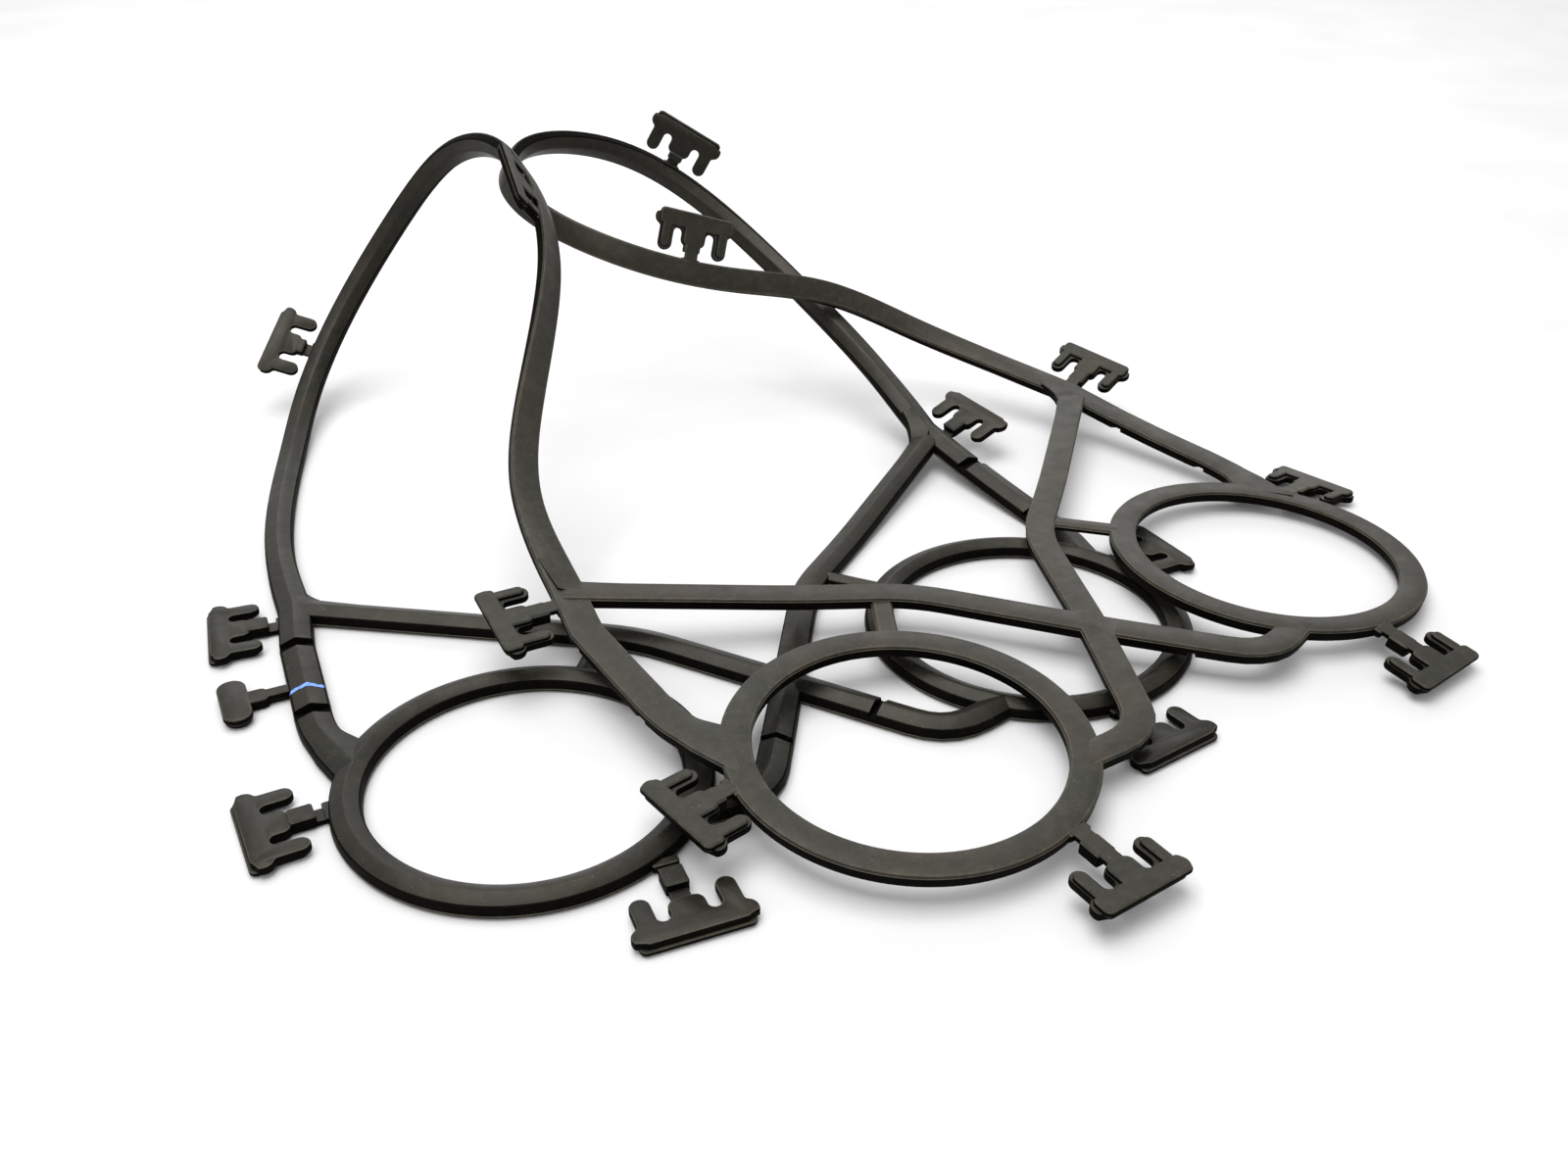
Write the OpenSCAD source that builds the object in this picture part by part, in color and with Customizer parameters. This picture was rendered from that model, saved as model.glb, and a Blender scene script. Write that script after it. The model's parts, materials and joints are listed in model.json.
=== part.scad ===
// Plate heat exchanger gasket: one rubber moulding, folded in half on a table.
// The lower end lies ridge side up, and its left port ring is centred on the
// origin. The upper end lies flat side up on top of it, turned a little, and
// the two side rails rise behind them and loop over. Lengths in millimetres.

/* [Ends] */
// Distance between the two port centres of one end
port_pitch = 140; // [138:0.5:142]
// Bore radius of a port ring
port_r = 36; // [34:0.5:37]
// Outer radius of a port ring
ring_r = 43; // [42:0.5:43]
// How far the upper end is turned on the lower one
upper_turn = 12.25; // [11:0.25:13]

/* [Band] */
// Height of the band's side walls
wall_h = 3.2; // [2.6:0.1:3.4]
// Height of the ridge along the middle of the band
ridge_h = 4.8; // [4.2:0.1:4.8]
// Width of the side rails and of the diagonal strands
rail_w = 7.7; // [6.5:0.1:8]
// Width of the outer bars beside the ports
bar_w = 8.5; // [7.5:0.1:8.5]
// Width of the short links between a strand and a ring
link_w = 5; // [4:0.5:6]
// Radius of the fillet where a strand leaves an outer bar
branch_r = 12; // [8:1:14]

/* [Leak grooves] */
// Width of a groove across the ridge
groove_w = 3.6; // [2:0.2:5]
// Width of a groove across a tail
tail_groove_w = 1.8; // [1:0.2:3]
// Rubber left under a groove
groove_floor = 2.2; // [1:0.1:2.5]
// Thickness of the painted colour mark
mark_t = 0.15; // [0.1:0.05:0.4]

/* [Clips] */
// Length of a clip's outer bar
clip_l = 27; // [24:0.5:28]
// Width of a clip's outer bar
clip_bar_w = 5.2; // [4.5:0.1:6]
// Width of each of the two prongs
prong_w = 4.5; // [4:0.1:5]
// Length of the prongs
prong_l = 7.8; // [5:0.1:8]
// Width of the trunk between the prongs
trunk_w = 8; // [6:0.5:9]
// Width of the neck that joins a clip to the band
neck_w = 5; // [4:0.5:5]
// Thickness of a clip
clip_t = 3; // [2:0.1:3]

/* [Flexing] */
// Gap between two stretches of rail that bend against each other
flex_gap = 0.4; // [0.3:0.1:0.6]
// Length over which a stretch of rail tapers at its ends
flex_taper = 1.7; // [1.2:0.1:2]

/* [Hidden] */
LOWER = 1;
UPPER = -1;
LEFT = -1;
RIGHT = 1;

// The upper end's midpoint between its ports, seen from above
upper_mid = [146.9, -23.4];
// Its two rings lie tilted: height of the flat face, then slopes across and along
upper_ring_left = [10.2, 0, 0.045];
upper_ring_right = [7.65, -0.058, 0.02];

// Routes of the rails' middle lines, from the lower end's branch to the upper's
rail_left_route = [
    [-31, 97, 2.5], [-29.5, 129.5, 2.5], [-21, 164, 2.5], [-11, 195.5, 2], [2, 227.5, 10.5],
    [22.5, 247, 30], [46, 250, 57], [63.5, 234.5, 84], [75, 203.5, 89.5], [74, 168, 71],
    [61.5, 141, 57], [45, 114, 42.5], [29, 84.5, 28], [30, 51, 15]
];
rail_right_route = [
    [173, 102.5, 8.5], [171.5, 135, 21], [166.5, 169, 33], [160.5, 196.5, 44], [145, 221, 62],
    [120.5, 233.5, 77.5], [84, 230, 83.5], [68, 200, 73.5], [96, 169.5, 58.5], [130.5, 160.5, 46.5],
    [168.5, 161, 39], [195, 149, 23], [214.5, 125.5, 15], [226, 96, 12]
];
// Turn of the ridge about each route: total angle, and how it grows
left_twist = [95.9, 2];
right_twist = [-159.9, 0.85];

// Where each rail bends, measured along it from the lower end's branch
branch_end = 14;
left_bends = [14, 85, 138, 175, 208, 235, 262, 310, 400, 431];
right_bends = [14, 95, 133, 165, 195, 222, 244, 272, 350, 400, 424];
// The right rail's open pivot is between its second and third stretch
right_open = 2;
open_gap = 1.6;
left_clips = [148.5, 297];
right_clips = [143, 292];

// Heights of the flat face: at the branch, half way, at the bend, and at the
// crossing, at the end of the tail, and on the ring
lower_left_z = [0.1, 0, 0, 0, 0, 0];
lower_right_z = [5.4, 0.3, 0, 0, 0, 0];
upper_left_z = [17.2, 12.5, 10.8, 10.3, 9.5, 8.7];
upper_right_z = [14.2, 11.9, 10.7, 10.3, 9.7, 8.9];
// Heights of the flat face along an outer bar, from the ring to the branch
lower_left_bar_z = [0, 0, 0, 0, 0];
lower_right_bar_z = [0, 0, 0.1, 1.8, 3.3];
upper_left_bar_z = [11.2, 11.8, 12.3, 13.7, 15];
upper_right_bar_z = [6.2, 6.6, 7.5, 9.3, 11];

// Plan of one half of an end, mirrored for the other: [across, along]
branch_xy = [100, 95.5];
strand_mid_xy = [50, 59.2];
strand_bend_xy = [25, 41];
crossing_xy = [0, 4.5];
tail_xy = [-24.5, -31.5];
tail_end_xy = [-42, -28];
// How far the upper end's strands bow along the end: half way and at the bend
upper_bow = [2, 4.5];
bar_plan = [[103.5, 21], [107.5, 37.5], [107.2, 46], [105.6, 63.5], [104.4, 77]];
link_x = 32;
bend_trim = 10;
stub_l = 14;
split_l = 15;
mark_y = 55.6;
mark_w = 1.3;

step = 4;
tip = 0.15;
reach = 40;

// ---- Vectors and places -------------------------------------------------

function unit(v) = v / norm(v);

// The part of v that is square to the direction t
function square_to(v, t) = unit(v - (v * t) * t);

// v turned about the direction t, to which it is square
function turned(v, t, angle) = v * cos(angle) + cross(t, v) * sin(angle);

// An end's own [across, along, up] as a place in the part
function place(end, p) = end == LOWER
    ? [p.x + port_pitch / 2, p.y, p.z]
    : [
        upper_mid.x + p.x * cos(upper_turn) - p.y * sin(upper_turn),
        upper_mid.y + p.x * sin(upper_turn) + p.y * cos(upper_turn),
        p.z
    ];

function spot(end, side, xy, z) = place(end, [side * xy.x, xy.y, z]);

function mix(a, b, share) = a + (b - a) * share;

// ---- Paths and stations -------------------------------------------------
// A station is [middle of the section, sideways, towards the ridge, scale].

function corner(a, b, c, trim) =
    let (p = b + trim * unit(a - b), q = b + trim * unit(c - b))
    [for (u = [0:0.2:1]) mix(mix(p, b, u), mix(b, q, u), u)];

// A path with each inner corner rounded
function rounded(path, trim) = [
    path[0],
    for (i = [1:len(path) - 2]) each corner(path[i - 1], path[i], path[i + 1], trim),
    path[len(path) - 1]
];

function heading(path, i) = unit(path[min(i + 1, len(path) - 1)] - path[max(i - 1, 0)]);

// Stations of a band whose flat face follows the path
function band_stations(path, end) = [
    for (i = [0:len(path) - 1])
        let (t = heading(path, i), n = square_to([0, 0, end], t))
        [path[i] + n * ridge_h / 2, cross(t, n), n, 1]
];

// One span of a uniform cubic spline
function span_point(c, k, u) =
    ((1 - u)^3 * c[k] + (3 * u^3 - 6 * u^2 + 4) * c[k + 1]
    + (-3 * u^3 + 3 * u^2 + 3 * u + 1) * c[k + 2] + u^3 * c[k + 3]) / 6;

function spline(route) =
    let (last = len(route) - 1)
    let (c = concat([2 * route[0] - route[1]], route, [2 * route[last] - route[last - 1]]))
    [for (k = [0:last - 1], u = [0:0.05:0.96]) span_point(c, k, u), route[last]];

// Length along a line up to each of its points
function lengths(line) = [
    for (i = 0, s = 0; i < len(line); i = i + 1, s = s + norm(line[min(i, len(line) - 1)] - line[i - 1])) s
];

// A direction carried along a line without turning about it
function carried(line, start) = [
    for (i = 0, n = square_to(start, heading(line, 0)); i < len(line);
        i = i + 1, n = square_to(n, heading(line, min(i, len(line) - 1)))) n
];

// A rail is [points, lookup from length to index, carried normals, length, twist]
function rail(route, twist) =
    let (line = spline(route), s = lengths(line))
    [line, [for (i = [0:len(s) - 1]) [s[i], i]], carried(line, [0, 0, 1]), s[len(s) - 1], twist];

rail_left = rail(rail_left_route, left_twist);
rail_right = rail(rail_right_route, right_twist);

function rail_heading(r, s) =
    let (k = lookup(s, r[1]), i = min(floor(k), len(r[0]) - 2))
    unit(mix(heading(r[0], i), heading(r[0], i + 1), k - i));

function rail_station(r, s, scale = 1) =
    let (k = lookup(s, r[1]), i = min(floor(k), len(r[0]) - 2), t = rail_heading(r, s))
    let (n = square_to(mix(r[2][i], r[2][i + 1], k - i), t))
    let (m = turned(n, t, r[4][0] * (s / r[3])^r[4][1]))
    [mix(r[0][i], r[0][i + 1], k - i), cross(t, m), m, scale];

// The same station for a sweep that runs the other way
function backward(station) = [station[0], -station[1], station[2], station[3]];

// Stations of one stretch of rail, tapered at both ends
function stretch(r, from, to) =
    let (a = from + flex_taper, b = to - flex_taper, n = ceil((b - a) / step))
    [
        rail_station(r, from, tip),
        for (i = [0:n]) rail_station(r, mix(a, b, i / n)),
        rail_station(r, to, tip)
    ];

// Stations of the stretch that belongs to an end's outer bar
function branch_stretch(r, end) =
    let (stop = branch_end - flex_gap / 2, full = stop - flex_taper)
    let (along = [0, full / 3, full * 2 / 3, full, stop])
    [
        for (i = [0:len(along) - 1])
            let (s = end == LOWER ? along[i] : r[3] - along[i])
            let (st = rail_station(r, s, i == len(along) - 1 ? tip : 1))
            end == LOWER ? st : backward(st)
    ];

// ---- Solids -------------------------------------------------------------

// Section of the band about its middle: flat face below, ridge above
function section(w, low = 0, wall = wall_h, ridge = ridge_h) = [
    for (p = [[-w / 2, low], [w / 2, low], [w / 2, wall], [0, ridge], [-w / 2, wall]])
        [p.x, p.y - ridge_h / 2]
];

module sweep(stations, profile) {
    sides = len(profile);
    last = len(stations) - 1;
    points = [
        for (st = stations, p = profile) st[0] + st[3] * (p.x * st[1] + p.y * st[2])
    ];
    walls = [
        for (i = [0:last - 1], j = [0:sides - 1])
            let (a = i * sides + j, b = i * sides + (j + 1) % sides)
            each [[a, b, b + sides], [a, b + sides, a + sides]]
    ];
    start = [[for (j = [sides - 1:-1:0]) j]];
    finish = [[for (j = [0:sides - 1]) last * sides + j]];
    polyhedron(points, concat(start, walls, finish), convexity = 6);
}

// Puts a solid on a port ring's own axis, flat face at z = 0 and ridge above
module on_ring(end, side) {
    lie = side == LEFT ? upper_ring_left : upper_ring_right;
    z = end == LOWER ? 0 : lie[0];
    translate(place(end, [side * port_pitch / 2, 0, z]))
        rotate([0, 0, end == LOWER ? 0 : upper_turn])
            rotate(end == LOWER ? [0, 0, 0] : [atan(lie[2]) + 180, -atan(lie[1]), 0])
                children();
}

module port_ring(end, side) {
    color("#33312c")
        on_ring(end, side)
            rotate_extrude($fn = 96)
                translate([(port_r + ring_r) / 2, ridge_h / 2])
                    polygon(section(ring_r - port_r));
}

// Space of a ring up to its outer wall, for cutting what meets it
module ring_space(end, side) {
    on_ring(end, side)
        cylinder(r = ring_r, h = reach, center = true, $fn = 96);
}

// Block across a band at a path's point, turned to the path
module across(at, towards, size) {
    translate(at)
        rotate([0, 0, atan2(towards.y - at.y, towards.x - at.x)])
            cube(size, center = true);
}

// Points of a strand from its branch, over the crossing, to the far ring
function strand_path(end, side, z) = let (bow = end == LOWER ? [0, 0] : upper_bow) [
    spot(end, side, branch_xy, z[0]),
    spot(end, side, strand_mid_xy + [0, bow[0]], z[1]),
    spot(end, side, strand_bend_xy + [0, bow[1]], z[2]),
    spot(end, side, crossing_xy, z[3]),
    spot(end, side, tail_xy, z[4]),
    spot(end, side, tail_end_xy, z[5])
];

function strand_z(end, side) = end == LOWER
    ? (side == LEFT ? lower_left_z : lower_right_z)
    : (side == LEFT ? upper_left_z : upper_right_z);

function bar_z(end, side) = end == LOWER
    ? (side == LEFT ? lower_left_bar_z : lower_right_bar_z)
    : (side == LEFT ? upper_left_bar_z : upper_right_bar_z);

// Where the strand leaves its stub, and where it meets the crossing piece
function stub_point(path) = path[0] + stub_l * unit(path[1] - path[0]);
function split_point(path) = path[2] + split_l * unit(path[3] - path[2]);

// Fillet between an outer bar and its strand, on the side of the plate's field
module branch_fillet(end, side) {
    z = strand_z(end, side)[0];
    slant = atan2(branch_xy.y - strand_bend_xy.y, branch_xy.x - strand_bend_xy.x);
    open = 90 + slant;
    leg = branch_r / tan(open / 2);
    inner = [97.4, 97.8];
    on_bar = inner + [0, leg];
    on_strand = inner - leg * [cos(slant), sin(slant)];
    middle = on_bar - [branch_r, 0];
    translate(place(end, [0, 0, end == LOWER ? z : z - wall_h]))
        rotate([0, 0, end == LOWER ? 0 : upper_turn])
            scale([side, 1, 1])
                linear_extrude(wall_h)
                    difference() {
                        polygon([inner + [1, -1], on_bar + [1, 0], on_bar, middle, on_strand, on_strand + [0, -1]]);
                        translate(middle)
                            circle(r = branch_r, $fn = 64);
                    }
}

// Outer bar beside a port, with the branch and the first stretch of the rail
module outer_bar(end, side) {
    z = bar_z(end, side);
    r = side == LEFT ? rail_left : rail_right;
    plan = [for (i = [0:len(bar_plan) - 1]) spot(end, side, bar_plan[i], z[i])];
    strand = strand_path(end, side, strand_z(end, side));
    color("#3a3731")
        difference() {
            union() {
                sweep(
                    concat(band_stations(rounded(plan, 5), end), branch_stretch(r, end)),
                    section(bar_w)
                );
                sweep(band_stations([strand[0], stub_point(strand)], end), section(rail_w));
                branch_fillet(end, side);
            }
            ring_space(end, side);
            for (i = [2, 4])
                across(
                    plan[i] + [0, 0, end * (groove_floor + reach / 2)],
                    plan[i == 2 ? 3 : i - 1],
                    [groove_w, 2 * bar_w, reach]
                );
        }
}

// Strand from the branch to just past its bend
module strand(end, side) {
    path = strand_path(end, side, strand_z(end, side));
    color("#35332e")
        sweep(
            band_stations(rounded([stub_point(path), path[1], path[2], split_point(path)], bend_trim), end),
            section(rail_w)
        );
}

// The two strands' crossing, with the tails that run on to the port rings
module crossing(end) {
    color("#302e2a")
        difference() {
            for (side = [LEFT, RIGHT])
                let (path = strand_path(end, side, strand_z(end, side)))
                    sweep(
                        band_stations(rounded([split_point(path), path[3], path[4], path[5]], bend_trim), end),
                        section(rail_w)
                    );
            for (side = [LEFT, RIGHT]) {
                ring_space(end, side);
                tail = strand_path(end, side, strand_z(end, side));
                across(
                    mix(tail[3], tail[4], 0.57) + [0, 0, end * (groove_floor + reach / 2)],
                    tail[4],
                    [tail_groove_w, 2 * rail_w, reach]
                );
            }
        }
}

// Short narrow link between a strand's bend and the port ring beside it
module link(end, side) {
    path = strand_path(end, side, strand_z(end, side));
    share = (strand_mid_xy.x - link_x) / (strand_mid_xy.x - strand_bend_xy.x);
    from = mix(path[1], path[2], share);
    lie = side == LEFT ? upper_ring_left : upper_ring_right;
    ring_z = end == LOWER ? 0 : lie[0] - side * lie[1] * ring_r * 0.64 + lie[2] * ring_r * 0.77;
    to = place(end, [side * port_pitch / 2, 0, 0]);
    inner = mix([from.x, from.y, from.z], [to.x, to.y, ring_z], 0.35);
    color("#2e2c28")
        difference() {
            sweep(band_stations([from, inner], end), section(link_w, 0.8, 2.6, 3.8));
            ring_space(end, side);
            strand(end, side);
        }
}

// Painted colour mark over the lower left outer bar
module paint_mark() {
    a = spot(LOWER, LEFT, bar_plan[2], 0);
    b = spot(LOWER, LEFT, bar_plan[3], 0);
    t = unit(b - a);
    at = a + t * (mark_y - bar_plan[2].y) / t.y;
    w = bar_w / 2;
    color("#5a82dc")
        translate(at)
            multmatrix([[t.y, 0, t.x, 0], [-t.x, 0, t.y, 0], [0, 1, 0, 0]])
                linear_extrude(mark_w, center = true)
                    polygon([
                        [-w, wall_h], [0, ridge_h], [w, wall_h],
                        [w, wall_h + mark_t], [0, ridge_h + mark_t], [-w, wall_h + mark_t]
                    ]);
}

// Stretch of a rail between two of its bends
module rail_piece(r, bends, i, gap_from = flex_gap, gap_to = flex_gap) {
    color(i % 2 == 0 ? "#3b3832" : "#34322d")
        sweep(
            stretch(r, bends[i] + gap_from / 2, bends[i + 1] - gap_to / 2),
            section(rail_w)
        );
}

module rail_left_piece(i) {
    rail_piece(rail_left, left_bends, i - 1);
}

module rail_right_piece(i) {
    rail_piece(
        rail_right, right_bends, i - 1,
        i - 1 == right_open ? open_gap : flex_gap,
        i == right_open ? open_gap : flex_gap
    );
}

// ---- Clips --------------------------------------------------------------
// A clip is drawn about the line its neck bends on: x outward, z to the ridge.

// Gap between a neck's round root and the band's wall
root_gap = 0.35;

module clip_plan(l) {
    translate([l - clip_bar_w / 2, -clip_l / 2 + clip_bar_w / 2])
        square([clip_bar_w, clip_l - clip_bar_w]);
    for (y = [-1, 1]) {
        translate([l, y * (clip_l - clip_bar_w) / 2])
            circle(d = clip_bar_w, $fn = 32);
        translate([l - clip_bar_w / 2 - prong_l + prong_w / 2, y * (trunk_w / 2 + 3 + prong_w / 2)]) {
            circle(d = prong_w, $fn = 32);
            translate([0, -prong_w / 2])
                square([prong_l, prong_w]);
        }
    }
    translate([l - 7.5, -trunk_w / 2])
        square([6, trunk_w]);
    translate([0, -neck_w / 2])
        square([l - 5, neck_w]);
}

module neck_root(w) {
    rotate([90, 0, 0])
        cylinder(d = clip_t, h = w, center = true, $fn = 32);
}

module clip(l) {
    color("#2c2a26") {
        linear_extrude(clip_t, center = true)
            clip_plan(l);
        neck_root(neck_w);
    }
}

module tee(l) {
    stem_w = 3.2;
    head_w = 7;
    head_l = 18;
    color("#2c2a26") {
        linear_extrude(clip_t, center = true) {
            translate([0, -stem_w / 2])
                square([l, stem_w]);
            translate([l - 7, -stem_w / 2 - 1])
                square([7, stem_w + 2]);
            translate([l - head_w / 2, -(head_l - head_w) / 2])
                square([head_w, head_l - head_w]);
            for (y = [-1, 1])
                translate([l, y * (head_l - head_w) / 2])
                    circle(d = head_w, $fn = 32);
        }
        neck_root(stem_w);
    }
}

// Moves a clip from its own axes to a root, pointing outward
module aim(root, outward, along) {
    n = cross(outward, along);
    multmatrix([
        [outward.x, along.x, n.x, root.x],
        [outward.y, along.y, n.y, root.y],
        [outward.z, along.z, n.z, root.z]
    ])
        children();
}

// Clips of the ends: [end, root, middle of its bar, slope of the band along it]
function end_clip(name) =
    name == "lower_clip_side_left" ? [LOWER, [-114.3, 9.4, 1.5], [-128.1, 9.4, 1.5], 0]
    : name == "lower_clip_end_left" ? [LOWER, [-53.6, -42.9, 1.5], [-55.4, -60.4, 1.5], 0]
    : name == "lower_clip_end_right" ? [LOWER, [66.5, -45.2, 1.5], [68.1, -60.2, 1.5], 0]
    : name == "lower_clip_side_right" ? [LOWER, [113.3, 14, 1.5], [127.6, 14, 1.5], 0]
    : name == "lower_clip_bar_left" ? [LOWER, [-108.1, 91.9, 1.6], [-121, 93.7, 1.6], 0]
    : name == "lower_clip_bar_right" ? [LOWER, [109.5, 98.2, 7.2], [121.8, 100, 11.2], 0.11]
    : name == "lower_tee_tab" ? [LOWER, [-112.2, 60, 1.5], [-123, 60.4, 1.5], 0]
    : name == "upper_clip_side_left" ? [UPPER, [-113.6, 13, 9.3], [-124.2, 13, 9.3], 0.045]
    : name == "upper_clip_end_left" ? [UPPER, [-62.8, -44.9, 6.7], [-64.5, -61, 6], 0]
    : name == "upper_clip_end_right" ? [UPPER, [59, -44.6, 5.9], [58.5, -59.8, 3.6], 0]
    : name == "upper_clip_side_right" ? [UPPER, [112, 18, 4.1], [125, 18.6, 2.6], 0]
    : name == "upper_clip_bar_left" ? [UPPER, [-106.3, 92.4, 15], [-118.9, 95.1, 15.1], 0.13]
    : [UPPER, [109, 102.7, 13.4], [121.2, 104.2, 17.4], 0.16];

module end_tab(name) {
    data = end_clip(name);
    root = place(data[0], data[1]);
    tip_at = place(data[0], data[2]);
    outward = unit(tip_at - root);
    level = data[0] * cross([0, 0, 1], outward);
    run = data[0] == LOWER ? [0, 1, 0] : [-sin(upper_turn), cos(upper_turn), 0];
    along = square_to(level + [0, 0, data[3] * (level * run)], outward);
    l = norm(tip_at - root);
    aim(root, outward, along)
        if (name == "lower_tee_tab")
            tee(l);
        else
            clip(l);
}

rail_clip_l = 10.3;

module rail_clip(r, s, side) {
    st = rail_station(r, s);
    outward = side * st[1];
    root = st[0] + outward * (rail_w / 2 + root_gap + clip_t / 2) - st[2] * (ridge_h - clip_t) / 2;
    aim(root, outward, cross(st[2], outward))
        clip(rail_clip_l);
}

// ---- The assembly -------------------------------------------------------

port_ring(LOWER, LEFT);  // lower_ring_left
port_ring(LOWER, RIGHT);  // lower_ring_right
outer_bar(LOWER, LEFT);  // lower_bar_left
outer_bar(LOWER, RIGHT);  // lower_bar_right
strand(LOWER, LEFT);  // lower_strand_left
strand(LOWER, RIGHT);  // lower_strand_right
crossing(LOWER);  // lower_crossing
link(LOWER, LEFT);  // lower_link_left
link(LOWER, RIGHT);  // lower_link_right
paint_mark();  // lower_paint_mark
port_ring(UPPER, LEFT);  // upper_ring_left
port_ring(UPPER, RIGHT);  // upper_ring_right
outer_bar(UPPER, LEFT);  // upper_bar_left
outer_bar(UPPER, RIGHT);  // upper_bar_right
strand(UPPER, LEFT);  // upper_strand_left
strand(UPPER, RIGHT);  // upper_strand_right
crossing(UPPER);  // upper_crossing
link(UPPER, LEFT);  // upper_link_left
link(UPPER, RIGHT);  // upper_link_right
for (i = [1:9])
    rail_left_piece(i);
for (i = [1:10])
    rail_right_piece(i);
end_tab("lower_clip_side_left");  // lower_clip_side_left
end_tab("lower_clip_end_left");  // lower_clip_end_left
end_tab("lower_clip_end_right");  // lower_clip_end_right
end_tab("lower_clip_side_right");  // lower_clip_side_right
end_tab("lower_clip_bar_left");  // lower_clip_bar_left
end_tab("lower_clip_bar_right");  // lower_clip_bar_right
end_tab("lower_tee_tab");  // lower_tee_tab
end_tab("upper_clip_side_left");  // upper_clip_side_left
end_tab("upper_clip_end_left");  // upper_clip_end_left
end_tab("upper_clip_end_right");  // upper_clip_end_right
end_tab("upper_clip_side_right");  // upper_clip_side_right
end_tab("upper_clip_bar_left");  // upper_clip_bar_left
end_tab("upper_clip_bar_right");  // upper_clip_bar_right
rail_clip(rail_left, left_clips[0], -1);  // rail_left_clip_1
rail_clip(rail_left, left_clips[1], -1);  // rail_left_clip_2
rail_clip(rail_right, right_clips[0], 1);  // rail_right_clip_1
rail_clip(rail_right, right_clips[1], 1);  // rail_right_clip_2
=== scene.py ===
"""Looks of a plate heat exchanger gasket, folded in half on a table.

Lengths are in millimetres in the gasket's own frame, until a finished mesh is scaled to metres.
"""

import json
import math

import bmesh
import bpy
import numpy as np
from mathutils import Matrix, Vector


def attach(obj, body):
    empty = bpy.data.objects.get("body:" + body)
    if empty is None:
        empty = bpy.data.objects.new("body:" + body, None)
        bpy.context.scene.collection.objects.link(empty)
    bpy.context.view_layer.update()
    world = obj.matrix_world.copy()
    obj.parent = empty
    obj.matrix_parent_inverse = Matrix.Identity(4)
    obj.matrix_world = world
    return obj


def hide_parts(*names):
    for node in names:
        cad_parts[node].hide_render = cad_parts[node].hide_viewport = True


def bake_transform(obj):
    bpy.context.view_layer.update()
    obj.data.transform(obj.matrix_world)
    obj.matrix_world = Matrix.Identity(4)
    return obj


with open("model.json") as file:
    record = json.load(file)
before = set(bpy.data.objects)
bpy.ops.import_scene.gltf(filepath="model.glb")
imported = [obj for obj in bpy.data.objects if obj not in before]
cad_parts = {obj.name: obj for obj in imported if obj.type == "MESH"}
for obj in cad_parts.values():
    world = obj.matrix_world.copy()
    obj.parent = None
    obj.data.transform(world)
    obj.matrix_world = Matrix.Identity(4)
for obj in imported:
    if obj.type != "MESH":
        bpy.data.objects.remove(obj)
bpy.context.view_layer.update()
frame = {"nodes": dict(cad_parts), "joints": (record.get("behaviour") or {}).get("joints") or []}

MM = 0.001
LOWER, UPPER = 1, -1
LEFT, RIGHT = -1, 1
END_NAME = {LOWER: "lower", UPPER: "upper"}
SIDE_NAME = {LEFT: "left", RIGHT: "right"}

# ---- The gasket's plan ------------------------------------------------------

PORT_PITCH = 140
PORT_R = 36
RING_R = 43
UPPER_TURN = math.radians(12.25)
UPPER_MID = (146.9, -23.4)
# Flat face's height at each upper ring's centre, then its slopes across and along
UPPER_RING_LIE = {LEFT: (10.2, 0, 0.045), RIGHT: (7.65, -0.058, 0.02)}

WALL_H = 3.2
RIDGE_H = 4.8
RAIL_W = 7.7
BAR_W = 8.5
# A bar takes in this much of its rail, and the rail slims down over the next stretch
BAR_JOIN = 5
RAIL_FADE = 26
LINK_W = 5
GROOVE_W = 3.6
TAIL_GROOVE_W = 1.8
GROOVE_FLOOR = 2.2
GROOVE_EDGE = 0.12
# Points of a path this near to a groove's wall are left out
GROOVE_CLEAR = 0.8

ROUTES = {
    LEFT: [
        (-31, 97, 2.5), (-29.5, 129.5, 2.5), (-21, 164, 2.5), (-11, 195.5, 2), (2, 227.5, 10.5),
        (22.5, 247, 30), (46, 250, 57), (63.5, 234.5, 84), (75, 203.5, 89.5), (74, 168, 71),
        (61.5, 141, 57), (45, 114, 42.5), (29, 84.5, 28), (30, 51, 15),
    ],
    RIGHT: [
        (173, 102.5, 8.5), (171.5, 135, 21), (166.5, 169, 33), (160.5, 196.5, 44), (145, 221, 62),
        (120.5, 233.5, 77.5), (84, 230, 83.5), (68, 200, 73.5), (96, 169.5, 58.5),
        (130.5, 160.5, 46.5), (168.5, 161, 39), (195, 149, 23), (214.5, 125.5, 15), (226, 96, 12),
    ],
}
# Turn of the ridge about each route: total angle in degrees, and how it grows
TWISTS = {LEFT: (95.9, 2), RIGHT: (-159.9, 0.85)}
BENDS = {
    LEFT: [14, 85, 138, 175, 208, 235, 262, 310, 400, 431],
    RIGHT: [14, 95, 133, 165, 195, 222, 244, 272, 350, 400, 424],
}
# The right rail is open at this bend, which has no joint
OPEN_PIVOT = 133
OPEN_INDEX = BENDS[RIGHT].index(OPEN_PIVOT)
# How far the stretch about a bend reaches before and after it, where clips leave it less or more
BEND_REACH = (10, 10)
SHORT_BENDS = {(LEFT, 138): (10, 7), (LEFT, 310): (9, 10), (RIGHT, 165): (12, 10)}
BEND_MARGIN = 2

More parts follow.
